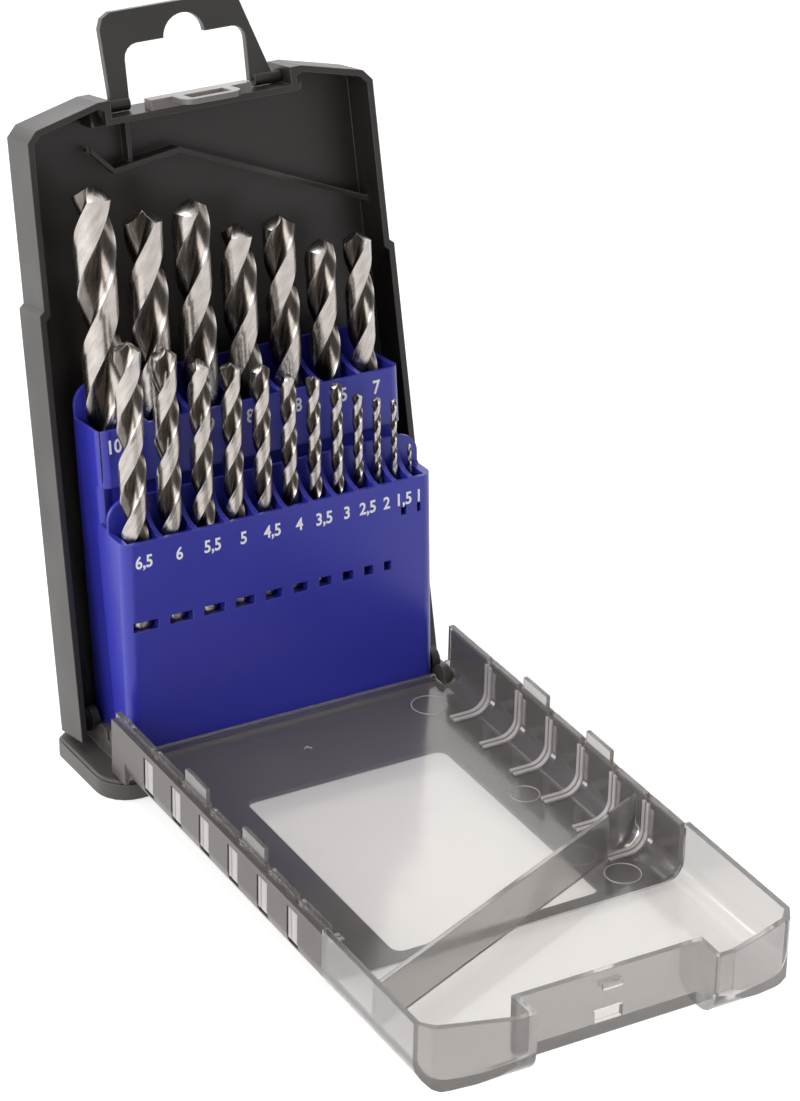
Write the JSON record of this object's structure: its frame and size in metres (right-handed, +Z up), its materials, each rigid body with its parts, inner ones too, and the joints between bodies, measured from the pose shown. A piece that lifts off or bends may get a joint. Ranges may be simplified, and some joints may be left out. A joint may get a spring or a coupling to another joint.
{
  "type": "drill bit case",
  "caption": "Stand-up drill bit case: a foot with a leaning rear shell, fanned drill holders, fold-out hanger and a clear slotted lid folded down in front.",
  "frame": {"origin": "on the underside of the foot, level with the lid's hinge line and midway across the case", "axes": "+X to the right seen from the open lid, +Y towards the back of the case, +Z up; every hinge axis lies along X"},
  "size_m": [0.1, 0.2025, 0.1735],
  "materials": {
    "foot_plastic": "fine moulded grain, dark grey",
    "shell_plastic": "fine spark-eroded grain, near black",
    "hanger_plastic": "fine moulded grain, dark grey",
    "latch_plastic": "smooth moulded, dark grey",
    "holder_plastic": "satin moulded, deep blue",
    "clear_plastic": "clear with a faint milky haze",
    "sleeve_plastic": "satin moulded, dark grey",
    "drill_steel": "ground bright steel"
  },
  "bodies": {
    "foot": {"base_foot": "foot_plastic"},
    "shell": {"rear_shell": "shell_plastic"},
    "hanger": {"hanger": "hanger_plastic"},
    "latch": {"latch_clip": "latch_plastic"},
    "front_rack": {"front_holder": "holder_plastic", "drill_6_5": "drill_steel", "drill_6_0": "drill_steel", "drill_5_5": "drill_steel", "drill_5_0": "drill_steel", "drill_4_5": "drill_steel", "drill_4_0": "drill_steel", "drill_3_5": "drill_steel", "drill_3_0": "drill_steel", "drill_2_5": "drill_steel", "drill_2_0": "drill_steel", "drill_1_5": "drill_steel", "drill_1_0": "drill_steel"},
    "rear_rack": {"rear_holder": "holder_plastic", "drill_10_0": "drill_steel", "drill_9_5": "drill_steel", "drill_9_0": "drill_steel", "drill_8_5": "drill_steel", "drill_8_0": "drill_steel", "drill_7_5": "drill_steel", "drill_7_0": "drill_steel"},
    "lid": {"clear_lid": "clear_plastic", "lid_sleeve": "sleeve_plastic"}
  },
  "joints": [
    {"name": "lid_hinge", "type": "hinge", "parent": "foot", "child": "lid", "pos_m": [0, 0, 0.0088], "axis": [-1, 0, 0], "range_deg": [0, 91.98]},
    {"name": "shell_tilt", "type": "hinge", "parent": "foot", "child": "shell", "pos_m": [0, 0.0207, 0.0096], "axis": [1, 0, 0], "range_deg": [0, 10.3]},
    {"name": "rear_rack_tilt", "type": "hinge", "parent": "foot", "child": "rear_rack", "pos_m": [0, 0.0128, 0.0086], "axis": [1, 0, 0], "range_deg": [0, 5.51]},
    {"name": "front_rack_tilt", "type": "hinge", "parent": "foot", "child": "front_rack", "pos_m": [0, 0.006, 0.0105], "axis": [1, 0, 0], "range_deg": [0, 1.51]},
    {"name": "hanger_fold", "type": "hinge", "parent": "shell", "child": "hanger", "pos_m": [0, 0.04579, 0.15211], "axis": [1, 0, 0], "range_deg": [0, 90]},
    {"name": "latch_flex", "type": "hinge", "parent": "shell", "child": "latch", "pos_m": [0, 0.04342, 0.15081], "axis": [-1, 0, 0], "range_deg": [0, 6], "stiffness_Nm_per_rad": 0.4}
  ],
  "couplings": [
    {"joint": "rear_rack_tilt", "follows": "shell_tilt", "ratio": 0.53398},
    {"joint": "front_rack_tilt", "follows": "shell_tilt", "ratio": 0.14563}
  ]
}
